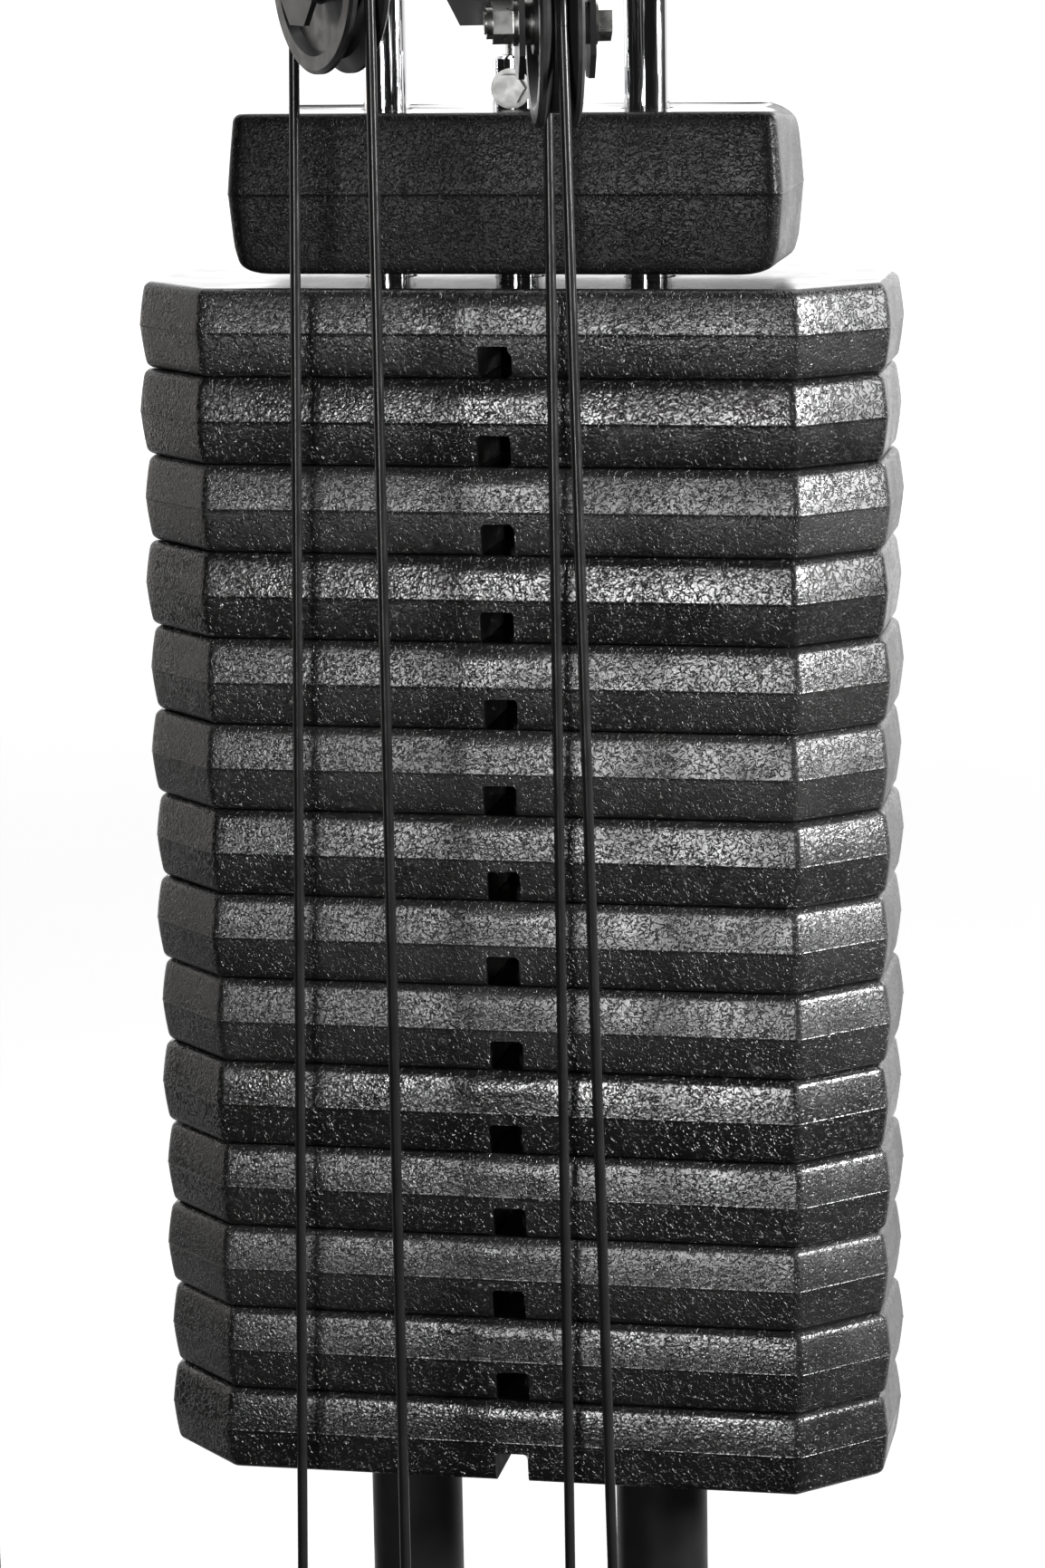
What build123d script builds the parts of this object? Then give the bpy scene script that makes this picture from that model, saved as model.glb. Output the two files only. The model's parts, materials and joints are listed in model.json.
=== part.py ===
from build123d import *
import os
from math import atan2, cos, hypot, radians, sin

os.makedirs("parts", exist_ok=True)

# Multi station home gym. X runs along the machine, from the weight stack to the seat,
# -Y is the cable side of the stack, +Z is up. The origin is on the floor, under the stack.

# Weight stack
PLATES = 14
LIFTED = 5  # plates above the selector pin
PLATE_PITCH = 46.5
PLATE_H = 46.2
PLATE_W = 403.0
PLATE_D = 152.0
PLATE_FACE = 316.0  # width of the flat front face, between the chamfers
PLATE_CHAMFER_Y = 42.0
PLATE_DRAFT = 8.0
STACK_Z = 230.0
SLOT_W = 18.0
SLOT_H = 17.0
PIN_UP = 9.0  # pin axis above the bottom of a plate

HEAD_W, HEAD_D, HEAD_H = 295.0, 100.0, 84.0
HEAD_GAP = 4.9

ROD_R = 12.5
ROD_X = 70.0
ROD_BORE_R = 14.0
RISER_R = 25.4
BUMPER_H = 5.0
STEM_R = 12.5
STEM_BORE_R = 13.5
STEM_BOTTOM = 246.0
PIN_R = 4.6
PIN_HOLE_R = 4.9

# Frame
TUBE = 50.0
TUBE_R = 4.0
WALL = 2.5
PLATE_T = 6.0
REAR_X = -430.0
MAST_X = 360.0
FRONT_X = 1225.0
FOOT_HALF = 260.0
FLOOR_BOLT_Y = 242.0
FLOOR_HOLE_R = 5.5
BEAM_Z = 1990.0
BEAM_H = 60.0
BEAM_END = 800.0
CROWN_Z = BEAM_Z - PLATE_T  # underside of the plates that carry the top pulleys
DECK_Z = TUBE + PLATE_T  # top of the plates that carry the base pulleys

# Cables and pulleys
CABLE_R = 2.75
GROOVE_R = 48.25  # centre line of the cable round a standard pulley
RIM_OVER = 4.25  # rim above the cable's centre line
PULLEY_HALF = 11.0
AXLE_R = 6.0
STRAP_IN = 16.0  # inner face of a side strap from the pulley's middle plane
STRAP_T = 3.0
STRAP_W = 40.0
STRAP_TIP_W = 18.0
STRAP_SQUARE = 16.0
STRAP_OVER = 28.0
GAP = 0.4  # between a cable run and the loop it continues in
ANCHOR_L = 34.0  # stud and sleeve of a cable's fixed end

BLOCK_Y = -140.0
BLOCK_SPACING = 125.0
LOW_BLOCK = (-66.0, 36.0, 1047.6)  # x, turn of the wheel plane, height of the lower axle
HIGH_BLOCK = (47.0, 15.0, 1020.3)
TOP_PULLEY_Z = 1890.0
BASE_PULLEY_Z = 112.0
LOW_DRIFT = 20.0  # the rear low run leans this much on its way down
HIGH_DRIFT = 17.0
BAR_X = 780.0
ROW_PULLEY_X = 1130.0

# Stations
SEAT_Z = 430.0
PAD_T = 60.0
BAR_Z = 1760.0
HANDLE_START = 1175.0

PLATE_1_Z = STACK_Z + (PLATES - 0.5) * PLATE_PITCH - (PLATE_PITCH - PLATE_H) / 2
HEAD_Z = PLATE_1_Z + PLATE_H / 2 + HEAD_GAP
STEM_TOP = PLATE_1_Z + 139.5
CROSS_BOLT_Z = PLATE_1_Z + 122.7


def write(name, *solids):
    whole = solids[0] if len(solids) == 1 else Compound(children=list(solids))
    export_step(whole, f"parts/{name}.step")


def block(x0, x1, y0, y1, z0, z1):
    centre = ((x0 + x1) / 2, (y0 + y1) / 2, (z0 + z1) / 2)
    return Pos(*centre) * Box(x1 - x0, y1 - y0, z1 - z0)


def rod_z(x, y, z0, z1, radius):
    return Pos(x, y, (z0 + z1) / 2) * Cylinder(radius, z1 - z0)


def rod_y(x, y0, y1, z, radius):
    return Pos(x, (y0 + y1) / 2, z) * Rot(90, 0, 0) * Cylinder(radius, y1 - y0)


def plate_bottom(number):
    return STACK_Z + (PLATES - number) * PLATE_PITCH


# ---------------------------------------------------------------- weight stack


def tapered_slab(outline, height, draft, edge):
    """A moulded slab: widest at its middle line, rounded along its top and bottom edges."""
    half = extrude(outline, amount=height / 2, taper=draft)
    half = fillet(half.faces().sort_by(Axis.Z)[-1].edges(), edge)
    return half + mirror(half, about=Plane.XY)


def weight_plate(number):
    face, side = PLATE_FACE / 2, PLATE_W / 2
    front, end = PLATE_D / 2, PLATE_D / 2 - PLATE_CHAMFER_Y
    corners = [(face, front), (side, end), (side, -end), (face, -front)]
    corners += [(-x, -y) for x, y in corners]
    outline = make_face(Polyline(corners, close=True))
    outline = fillet(outline.vertices(), 7)
    slab = tapered_slab(outline, PLATE_H, PLATE_DRAFT, 5)
    for x in (-ROD_X, ROD_X):
        slab -= rod_z(x, 0, -PLATE_H, PLATE_H, ROD_BORE_R)
    slab -= rod_z(0, 0, -PLATE_H, PLATE_H, STEM_BORE_R)
    slot_z = -PLATE_H / 2
    slab -= block(-SLOT_W / 2, SLOT_W / 2, -PLATE_D, PLATE_D, slot_z - 1, slot_z + SLOT_H)
    return Pos(0, 0, plate_bottom(number) + PLATE_H / 2) * slab


def head_block():
    outline = RectangleRounded(HEAD_W, HEAD_D, 7)
    slab = tapered_slab(outline, HEAD_H, 4.5, 7)
    for x in (-ROD_X, ROD_X):
        slab -= rod_z(x, 0, -HEAD_H, HEAD_H, ROD_BORE_R)
    slab -= rod_z(0, 0, -HEAD_H, HEAD_H, STEM_R + 0.05)
    return Pos(0, 0, HEAD_Z + HEAD_H / 2) * slab


def selector_stem():
    stem = rod_z(0, 0, STEM_BOTTOM, STEM_TOP, STEM_R)
    stem = chamfer(stem.edges().filter_by(GeomType.CIRCLE), 1.5)
    stem -= rod_z(0, 0, CROSS_BOLT_Z - 18, STEM_TOP + 1, 7.7)
    stem -= rod_y(0, -20, 20, CROSS_BOLT_Z, 5.0)
    for number in range(1, PLATES):
        stem -= rod_y(0, -20, 20, plate_bottom(number) + PIN_UP, PIN_HOLE_R)
    return stem


def hexagon_y(x, y0, y1, z, flats):
    prism = extrude(RegularPolygon(flats / 2, 6, major_radius=False), amount=y1 - y0)
    return Pos(x, y1, z) * Rot(90, 0, 0) * prism


def cross_bolt():
    washers = [rod_y(0, y, y + 2, CROSS_BOLT_Z, 10.5) for y in (-STEM_R - 2, STEM_R)]
    washers = [washer - rod_y(0, -30, 30, CROSS_BOLT_Z, 4.9) for washer in washers]
    bolt = rod_y(0, -14.5, 24, CROSS_BOLT_Z, 4.8) + hexagon_y(0, -21, -14.5, CROSS_BOLT_Z, 14.3)
    nut = hexagon_y(0, 14.5, 22.5, CROSS_BOLT_Z, 14.3) - rod_y(0, 10, 30, CROSS_BOLT_Z, 4.85)
    return [bolt, nut] + washers


def cable_end():
    eye = rod_z(0, 0, CROSS_BOLT_Z - 16, STEM_TOP - 3, 7.5)
    eye += rod_z(0, 0, STEM_TOP - 3, STEM_TOP + 16, 5.25)
    return eye - rod_y(0, -20, 20, CROSS_BOLT_Z, 4.9)


def guide_rods():
    return [rod_z(x, 0, DECK_Z, CROWN_Z, ROD_R) for x in (-ROD_X, ROD_X)]


def riser_tubes():
    tubes = []
    for x in (-ROD_X, ROD_X):
        tube = rod_z(x, 0, DECK_Z, STACK_Z - BUMPER_H, RISER_R)
        tubes.append(tube - rod_z(x, 0, 0, STACK_Z, RISER_R - 2.4))
    return tubes


def bumpers():
    rings = []
    for x in (-ROD_X, ROD_X):
        ring = rod_z(x, 0, STACK_Z - BUMPER_H, STACK_Z, RISER_R - 0.6)
        ring = fillet(ring.edges().filter_by(GeomType.CIRCLE), 2)
        rings.append(ring - rod_z(x, 0, 0, STACK_Z + 1, ROD_R + 0.6))
    return rings


def selector_pin():
    z = plate_bottom(LIFTED) + PIN_UP
    shaft = rod_y(0, -22, 98, z, PIN_R)
    shaft = chamfer(shaft.faces().sort_by(Axis.Y)[0].edges(), 1.5)
    knob = rod_y(0, 84, 124, z, 15)
    knob = fillet(knob.edges().filter_by(GeomType.CIRCLE), 6)
    return shaft, knob - rod_y(0, 80, 98, z, PIN_R)


# ------------------------------------------------------------ cables, pulleys


def away(point, turn, distance):
    """The point this far from another in a wheel's plane, towards the cable side when positive."""
    return (point[0] + distance * sin(radians(turn)), point[1] - distance * cos(radians(turn)))


def on_axle(centre, turn, solid):
    """Places a solid made round the Z axis on a level axle whose wheel plane has this turn."""
    return Pos(*centre) * Rot(0, 0, turn) * Rot(0, 90, 0) * solid


def pulley(centre, turn, groove=GROOVE_R):
    rim = groove + RIM_OVER
    bed = groove - CABLE_R - 0.3
    half = [
        (AXLE_R + 0.06, PULLEY_HALF),
        (16, PULLEY_HALF),
        (18, 6),
        (rim - 11.5, 6),
        (rim - 9, PULLEY_HALF),
        (rim - 2, PULLEY_HALF),
        (rim, PULLEY_HALF - 1.5),
        (rim, 7.4),
        (bed, 3.3),
    ]
    section = half + [(radius, -along) for radius, along in reversed(half)]
    face = make_face(Plane.XZ * Polyline(section, close=True))
    return on_axle(centre, turn, revolve(face, Axis.Z))


def ring(centre, turn, start, end, outer, inner):
    tube = Pos(0, 0, (start + end) / 2) * (Cylinder(outer, end - start) - Cylinder(inner, end - start))
    return on_axle(centre, turn, tube)


def hexagon_on_axle(start, end, flats):
    return Pos(0, 0, start) * extrude(RegularPolygon(flats / 2, 6, major_radius=False), amount=end - start)


def axle_set(centre, turn):
    """Bolt, lock nut, two washers and two hub spacers of one pulley."""
    outer = STRAP_IN + STRAP_T
    nut_face = -outer - 2
    bolt = Pos(0, 0, (outer + 2 + nut_face - 14) / 2) * Cylinder(AXLE_R, outer + 16 - nut_face)
    bolt += hexagon_on_axle(outer + 2, outer + 9, 18)
    nut = hexagon_on_axle(nut_face - 10, nut_face, 19)
    nut += Pos(0, 0, nut_face - 11.5) * Cylinder(8.4, 3)
    nut -= Cylinder(AXLE_R + 0.02, 100)
    pieces = [on_axle(centre, turn, bolt), on_axle(centre, turn, nut)]
    pieces.append(ring(centre, turn, outer, outer + 2, 12, AXLE_R + 0.1))
    pieces.append(ring(centre, turn, nut_face, -outer, 12, AXLE_R + 0.1))
    for start in (PULLEY_HALF + 0.3, -STRAP_IN):
        pieces.append(ring(centre, turn, start, start + STRAP_IN - PULLEY_HALF - 0.3, 11.7, AXLE_R + 0.1))
    return pieces


def strap_pair(centre, turn, below, above, taper_low, taper_high):
    """Two side straps of a wheel. Each end is either tapered past an axle or cut square."""
    wide, tip, slope = STRAP_W / 2, STRAP_TIP_W / 2, STRAP_OVER - STRAP_SQUARE
    low = [(wide, -below)]
    if taper_low:
        low = [(tip, -below), (wide, -below + slope)]
    high = [(wide, above)]
    if taper_high:
        high = [(wide, above - slope), (tip, above)]
    right = low + high
    outline = right + [(-y, z) for y, z in reversed(right)]
    face = make_face(Plane.YZ * Polyline(outline, close=True))
    pair = []
    for start in (STRAP_IN, -STRAP_IN - STRAP_T):
        strap = Pos(start, 0, 0) * extrude(face, amount=STRAP_T, dir=(1, 0, 0))
        pair.append(Pos(*centre) * Rot(0, 0, turn) * strap)
    return pair


def axle_holes(solid, centre, turn):
    return solid - on_axle(centre, turn, Cylinder(AXLE_R + 0.1, 60))


def block_bracket(x, turn, z, wing=False):
    """Two long straps with a spacer tube between the two wheels, and a wing on one block."""
    low, high = (x, BLOCK_Y, z), (x, BLOCK_Y, z + BLOCK_SPACING)
    straps = strap_pair(low, turn, STRAP_OVER, BLOCK_SPACING + STRAP_OVER, True, True)
    spacer = on_axle((x, BLOCK_Y, z + BLOCK_SPACING / 2), turn, Cylinder(5, 2 * STRAP_IN + 1))
    bracket = straps[0] + straps[1] + spacer
    if wing:
        edge = -STRAP_IN - STRAP_T + 0.5
        outline = [(edge, -2), (-46, -2), (-70, 46), (-70, 70), (edge, 70)]
        plate = extrude(make_face(Plane.XZ * Polyline(outline, close=True)), amount=STRAP_T, dir=(0, 1, 0))
        bracket += Pos(*low) * Rot(0, 0, turn) * Pos(0, 13, 0) * plate
    for centre in (low, high):
        bracket = axle_holes(bracket, centre, turn)
    return bracket


def cable_run(start, end):
    direction = Vector(*end) - Vector(*start)
    return extrude(Plane(origin=start, z_dir=direction) * Circle(CABLE_R), amount=direction.length)


def cable_arc(centre, turn, radius, first, last):
    """An arc round a wheel. 0 degrees is the cable side, 90 the top and 180 the far side."""
    points = []
    for angle in (first, (first + last) / 2, last):
        x, y = away(centre, turn, radius * cos(radians(angle)))
        points.append(Vector(x, y, centre[2] + radius * sin(radians(angle))))
    path = ThreePointArc(*points)
    return sweep(Plane(origin=path @ 0, z_dir=path % 0) * Circle(CABLE_R), path=path)


def turn_of(start, end):
    """Turn of the wheel plane that holds both points, its cable side towards end."""
    return 90 + atan2(end[1] - start[1], end[0] - start[0]) * 57.29577951308232


LOW_XY = (LOW_BLOCK[0], BLOCK_Y)
HIGH_XY = (HIGH_BLOCK[0], BLOCK_Y)
LOW_FRONT = away(LOW_XY, LOW_BLOCK[1], GROOVE_R)
LOW_REAR = away(LOW_XY, LOW_BLOCK[1], -GROOVE_R)
HIGH_FRONT = away(HIGH_XY, HIGH_BLOCK[1], GROOVE_R)
HIGH_REAR = away(HIGH_XY, HIGH_BLOCK[1], -GROOVE_R)

CROWN_TURN = turn_of((0, 0), LOW_REAR)
CROWN_R = hypot(*LOW_REAR) / 2
CROWN = (LOW_REAR[0] / 2, LOW_REAR[1] / 2, TOP_PULLEY_Z)
LINK_TURN = turn_of(LOW_FRONT, HIGH_FRONT)
LINK_R = hypot(HIGH_FRONT[0] - LOW_FRONT[0], HIGH_FRONT[1] - LOW_FRONT[1]) / 2
LINK = ((LOW_FRONT[0] + HIGH_FRONT[0]) / 2, (LOW_FRONT[1] + HIGH_FRONT[1]) / 2, TOP_PULLEY_Z)

LOW_BASE = (LOW_REAR[0] - LOW_DRIFT + GROOVE_R, LOW_REAR[1], BASE_PULLEY_Z)
HIGH_BASE = (HIGH_FRONT[0] + HIGH_DRIFT + GROOVE_R, HIGH_FRONT[1], BASE_PULLEY_Z)
MAST_FOOT = (MAST_X, HIGH_FRONT[1], BASE_PULLEY_Z)
ROW_PULLEY = (ROW_PULLEY_X, LOW_REAR[1], BASE_PULLEY_Z)
ALONG = 90.0  # turn of a wheel plane that runs along X

MAST_RISE = (MAST_X + GROOVE_R, HIGH_FRONT[1])
BAR_DROP = (BAR_X, 0.0)
TOP_TURN = turn_of(MAST_RISE, BAR_DROP)
MAST_TOP = (*away(MAST_RISE, TOP_TURN, GROOVE_R), TOP_PULLEY_Z)
LAT_PULLEY = (*away(BAR_DROP, TOP_TURN, -GROOVE_R), TOP_PULLEY_Z)

# name: centre, turn, groove radius, hung from above
FIXED_PULLEYS = {
    "crown_pulley": (CROWN, CROWN_TURN, CROWN_R, True),
    "link_pulley": (LINK, LINK_TURN, LINK_R, True),
    "mast_top_pulley": (MAST_TOP, TOP_TURN, GROOVE_R, True),
    "lat_pulley": (LAT_PULLEY, TOP_TURN, GROOVE_R, True),
    "low_base_pulley": (LOW_BASE, ALONG, GROOVE_R, False),
    "high_base_pulley": (HIGH_BASE, ALONG, GROOVE_R, False),
    "mast_foot_pulley": (MAST_FOOT, ALONG, GROOVE_R, False),
    "row_pulley": (ROW_PULLEY, ALONG, GROOVE_R, False),
}


def hangers():
    straps = []
    for centre, turn, _, hung in FIXED_PULLEYS.values():
        if hung:
            pair = strap_pair(centre, turn, STRAP_OVER, CROWN_Z - centre[2], True, False)
        else:
            pair = strap_pair(centre, turn, centre[2] - DECK_Z, STRAP_OVER, False, True)
        straps += [axle_holes(strap, centre, turn) for strap in pair]
    return straps


def block_loops(x, turn, z):
    """The two half turns of cable on a block: over its lower wheel and under its upper wheel."""
    lower = cable_arc((x, BLOCK_Y, z), turn, GROOVE_R, 0, 180)
    upper = cable_arc((x, BLOCK_Y, z + BLOCK_SPACING), turn, GROOVE_R, 0, -180)
    return [lower, upper]


def lift_cable_over_pulleys():
    return [
        cable_arc(CROWN, CROWN_TURN, CROWN_R, 0, 180),
        cable_arc(LINK, LINK_TURN, LINK_R, 0, 180),
    ]


def upright_run(point, z0, z1):
    return cable_run((*point, z0), (*point, z1))


def lift_cable_block_runs():
    low_z = LOW_BLOCK[2] + BLOCK_SPACING + GAP
    high_z = HIGH_BLOCK[2] + BLOCK_SPACING + GAP
    top = TOP_PULLEY_Z - GAP
    low = [upright_run(point, low_z, top) for point in (LOW_REAR, LOW_FRONT)]
    high = [upright_run(HIGH_FRONT, high_z, top), upright_run(HIGH_REAR, high_z, CROWN_Z - ANCHOR_L)]
    return low, high


def anchor(x, y, z, up):
    """Swaged sleeve on a stud, holding a cable's fixed end."""
    sign = 1 if up else -1
    stud = rod_z(x, y, *sorted((z, z + 16 * sign)), 4)
    return stud + rod_z(x, y, *sorted((z + 16 * sign, z + ANCHOR_L * sign)), 5.5)


def floor_run():
    """The low cable's run from the base pulley to the stop ball at the row handle."""
    z = BASE_PULLEY_Z - GROOVE_R
    arc = cable_arc(LOW_BASE, ALONG, GROOVE_R, -180, -90)
    run = cable_run((LOW_BASE[0], LOW_BASE[1], z), (HANDLE_START - GAP, LOW_BASE[1], z))
    return arc + run


def mast_run():
    """The high cable's run along the base, up the mast and over the beam to the bar."""
    z = BASE_PULLEY_Z - GROOVE_R
    top = TOP_PULLEY_Z + GROOVE_R
    pieces = cable_arc(HIGH_BASE, ALONG, GROOVE_R, -180, -90)
    pieces += cable_run((HIGH_BASE[0], HIGH_BASE[1], z), (MAST_FOOT[0], MAST_FOOT[1], z))
    pieces += cable_arc(MAST_FOOT, ALONG, GROOVE_R, -90, 0)
    pieces += upright_run(MAST_RISE, BASE_PULLEY_Z, TOP_PULLEY_Z)
    pieces += cable_arc(MAST_TOP, TOP_TURN, GROOVE_R, 180, 90)
    pieces += cable_run((*MAST_TOP[:2], top), (*LAT_PULLEY[:2], top))
    pieces += cable_arc(LAT_PULLEY, TOP_TURN, GROOVE_R, 90, 0)
    pieces += upright_run(BAR_DROP, BAR_Z + 67 + GAP, TOP_PULLEY_Z)
    return pieces


# -------------------------------------------------------------------- frame


def tube_section(width, height):
    hollow = RectangleRounded(width - 2 * WALL, height - 2 * WALL, TUBE_R - WALL)
    return RectangleRounded(width, height, TUBE_R) - hollow


def tube_x(x0, x1, y, z0, height=TUBE, width=TUBE):
    section = Plane.YZ * Pos(y, z0 + height / 2) * tube_section(width, height)
    return Pos(x0, 0, 0) * extrude(section, amount=x1 - x0, dir=(1, 0, 0))


def tube_y(x, half, z0):
    section = Plane.XZ * Pos(x, z0 + TUBE / 2) * tube_section(TUBE, TUBE)
    return Pos(0, -half, 0) * extrude(section, amount=2 * half, dir=(0, 1, 0))


def tube_z(x, y, z0, z1):
    return Pos(x, y, z0) * extrude(tube_section(TUBE, TUBE), amount=z1 - z0)


def base_frame():
    """Base rail and three cross feet, with the decks that carry the stack and the pulleys."""
    frame = tube_x(REAR_X, FRONT_X, 0, 0)
    for x, half in ((REAR_X, FOOT_HALF), (MAST_X, FOOT_HALF), (FRONT_X, FOOT_HALF - 60)):
        frame += tube_y(x, half, 0)
    frame += block(-140, 170, -225, 45, TUBE, DECK_Z)
    frame += block(MAST_X - 35, MAST_X + 35, -225, 45, TUBE, DECK_Z)
    frame += block(ROW_PULLEY_X - 40, FRONT_X + 25, -190, 190, TUBE, DECK_Z)
    for x in (REAR_X, MAST_X):
        for y in (-FLOOR_BOLT_Y, FLOOR_BOLT_Y):
            frame -= rod_z(x, y, -1, TUBE + 1, FLOOR_HOLE_R)
    return frame


def end_caps():
    caps = []
    for x, half in ((REAR_X, FOOT_HALF), (MAST_X, FOOT_HALF), (FRONT_X, FOOT_HALF - 60)):
        for side in (-1, 1):
            face_y = side * half
            cap = block(x - 25, x + 25, min(face_y, face_y + side * 6), max(face_y, face_y + side * 6), 0, TUBE)
            caps.append(fillet(cap.edges().filter_by(Axis.Y), TUBE_R))
    return caps


def top_beam():
    """Beam with the two pulley plates welded under it."""
    beam = tube_x(REAR_X - 25, BEAM_END, 0, BEAM_Z, BEAM_H, BEAM_H)
    beam += block(-150, 115, -225, 45, CROWN_Z, BEAM_Z)
    beam += block(MAST_TOP[0] - 50, MAST_TOP[0] + 60, -225, 30, CROWN_Z, BEAM_Z)
    beam += block(LAT_PULLEY[0] - 45, LAT_PULLEY[0] + 45, -60, 30, CROWN_Z, BEAM_Z)
    return beam


# ----------------------------------------------------------------- stations


def seat_frame():
    post = tube_z(680, 0, TUBE, SEAT_Z - 30)
    arm = tube_x(MAST_X + 25, 840, 0, SEAT_Z - 30, 30)
    back_arm = tube_x(MAST_X + 25, MAST_X + 65, 0, 780, 40)
    back_arm += tube_x(MAST_X + 25, MAST_X + 65, 0, 1180, 40)
    carrier = block(MAST_X + 65, MAST_X + 71, -60, 60, 700, 1280)
    return [post + arm, back_arm + carrier]


def cushion(x0, x1, y_half, z0, z1, corner):
    pad = block(x0, x1, -y_half, y_half, z0, z1)
    return fillet(pad.edges(), corner)


def lat_bar():
    """Long bar with both ends bent down, hung from a ring and a stop ball."""
    centre = Vector(BAR_X, 0, BAR_Z)
    points = [
        centre + Vector(0, -520, -110),
        centre + Vector(0, -330, 0),
        centre + Vector(0, 330, 0),
        centre + Vector(0, 520, -110),
    ]
    path = FilletPolyline(*points, radius=70)
    bar = sweep(Plane(origin=path @ 0, z_dir=path % 0) * Circle(14), path=path)
    lug = rod_z(BAR_X, 0, BAR_Z, BAR_Z + 50, 6)
    ball = Pos(BAR_X, 0, BAR_Z + 56) * Sphere(11)
    return bar + lug + ball


def row_handle():
    """Stop ball, link and closed handle of the low station."""
    y, z = LOW_BASE[1], BASE_PULLEY_Z - GROOVE_R
    start = HANDLE_START
    link = Pos(start + 30, y, z) * Rot(0, 90, 0) * Cylinder(4, 60)
    ball = Pos(start + 9, y, z) * Sphere(7)
    points = [(start + 58, y - 4), (start + 120, y - 60), (start + 120, y + 60), (start + 58, y + 4)]
    corners = [Vector(px, py, z) for px, py in points]
    path = FilletPolyline(*corners, radius=12)
    loop = sweep(Plane(origin=path @ 0, z_dir=path % 0) * Circle(4), path=path)
    grip = rod_y(start + 120, y - 42, y + 42, z, 7)
    return link + ball + loop + grip


def write_stack():
    for number in range(1, PLATES + 1):
        write(f"plate_{number:02d}", weight_plate(number))
    write("head_block", head_block())
    write("selector_stem", selector_stem())
    write("stem_cross_bolt", *cross_bolt())
    write("lift_cable_end", cable_end())
    write("guide_rods", *guide_rods())
    write("riser_tubes", *riser_tubes())
    write("riser_bumpers", *bumpers())
    write("selector_pin", *selector_pin())


def write_blocks():
    for name, place, wing in (("low_block", LOW_BLOCK, False), ("high_block", HIGH_BLOCK, True)):
        x, turn, z = place
        write(f"{name}_bracket", block_bracket(x, turn, z, wing))
        axles = axle_set((x, BLOCK_Y, z), turn) + axle_set((x, BLOCK_Y, z + BLOCK_SPACING), turn)
        write(f"{name}_axles", *axles)
        write(f"{name}_lower_pulley", pulley((x, BLOCK_Y, z), turn))
        write(f"{name}_upper_pulley", pulley((x, BLOCK_Y, z + BLOCK_SPACING), turn))
        write(f"{name}_cable_loops", *block_loops(x, turn, z))


def write_fixed_pulleys():
    axles = []
    for name, (centre, turn, groove, _) in FIXED_PULLEYS.items():
        write(name, pulley(centre, turn, groove))
        axles += axle_set(centre, turn)
    axles += [anchor(*LOW_FRONT, DECK_Z, True), anchor(*HIGH_REAR, DECK_Z, True)]
    axles.append(anchor(*HIGH_REAR, CROWN_Z, False))
    write("fixed_bolts_and_anchors", *axles)
    write("pulley_hangers", *hangers())


def write_cables():
    low_runs, high_runs = lift_cable_block_runs()
    write("lift_cable_stem_run", upright_run((0, 0), STEM_TOP + 16 + GAP, TOP_PULLEY_Z - GAP))
    write("lift_cable_over_pulleys", *lift_cable_over_pulleys())
    write("lift_cable_block_runs", *low_runs, *high_runs)
    low_top, high_top = LOW_BLOCK[2] - GAP, HIGH_BLOCK[2] - GAP
    base = BASE_PULLEY_Z + GAP
    low_foot = (LOW_REAR[0] - LOW_DRIFT, LOW_REAR[1], base)
    high_foot = (HIGH_FRONT[0] + HIGH_DRIFT, HIGH_FRONT[1], base)
    write("low_cable_rear_run", cable_run(low_foot, (*LOW_REAR, low_top)))
    write("low_cable_anchor_run", upright_run(LOW_FRONT, DECK_Z + ANCHOR_L, low_top))
    write("high_cable_anchor_run", upright_run(HIGH_REAR, DECK_Z + ANCHOR_L, high_top))
    write("high_cable_front_run", cable_run(high_foot, (*HIGH_FRONT, high_top)))
    write("low_cable_floor_run", floor_run())
    write("high_cable_mast_run", mast_run())


def write_frame():
    write("base_frame", base_frame())
    write("foot_end_caps", *end_caps())
    write("uprights", tube_z(REAR_X, 0, TUBE, BEAM_Z), tube_z(MAST_X, 0, DECK_Z, BEAM_Z))
    write("top_beam", top_beam())


def write_stations():
    write("seat_frame", *seat_frame())
    write("seat_pad", cushion(470, 860, 160, SEAT_Z, SEAT_Z + PAD_T, 20))
    write("back_pad", cushion(MAST_X + 71, MAST_X + 131, 140, 640, 1340, 20))
    write("lat_bar", lat_bar())
    write("row_handle", row_handle())


write_stack()
write_blocks()
write_fixed_pulleys()
write_cables()
write_frame()
write_stations()
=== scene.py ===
import json
from math import atan, cos, pi, radians, sin, tan

import bmesh
import bpy
from mathutils import Matrix, Vector

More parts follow.
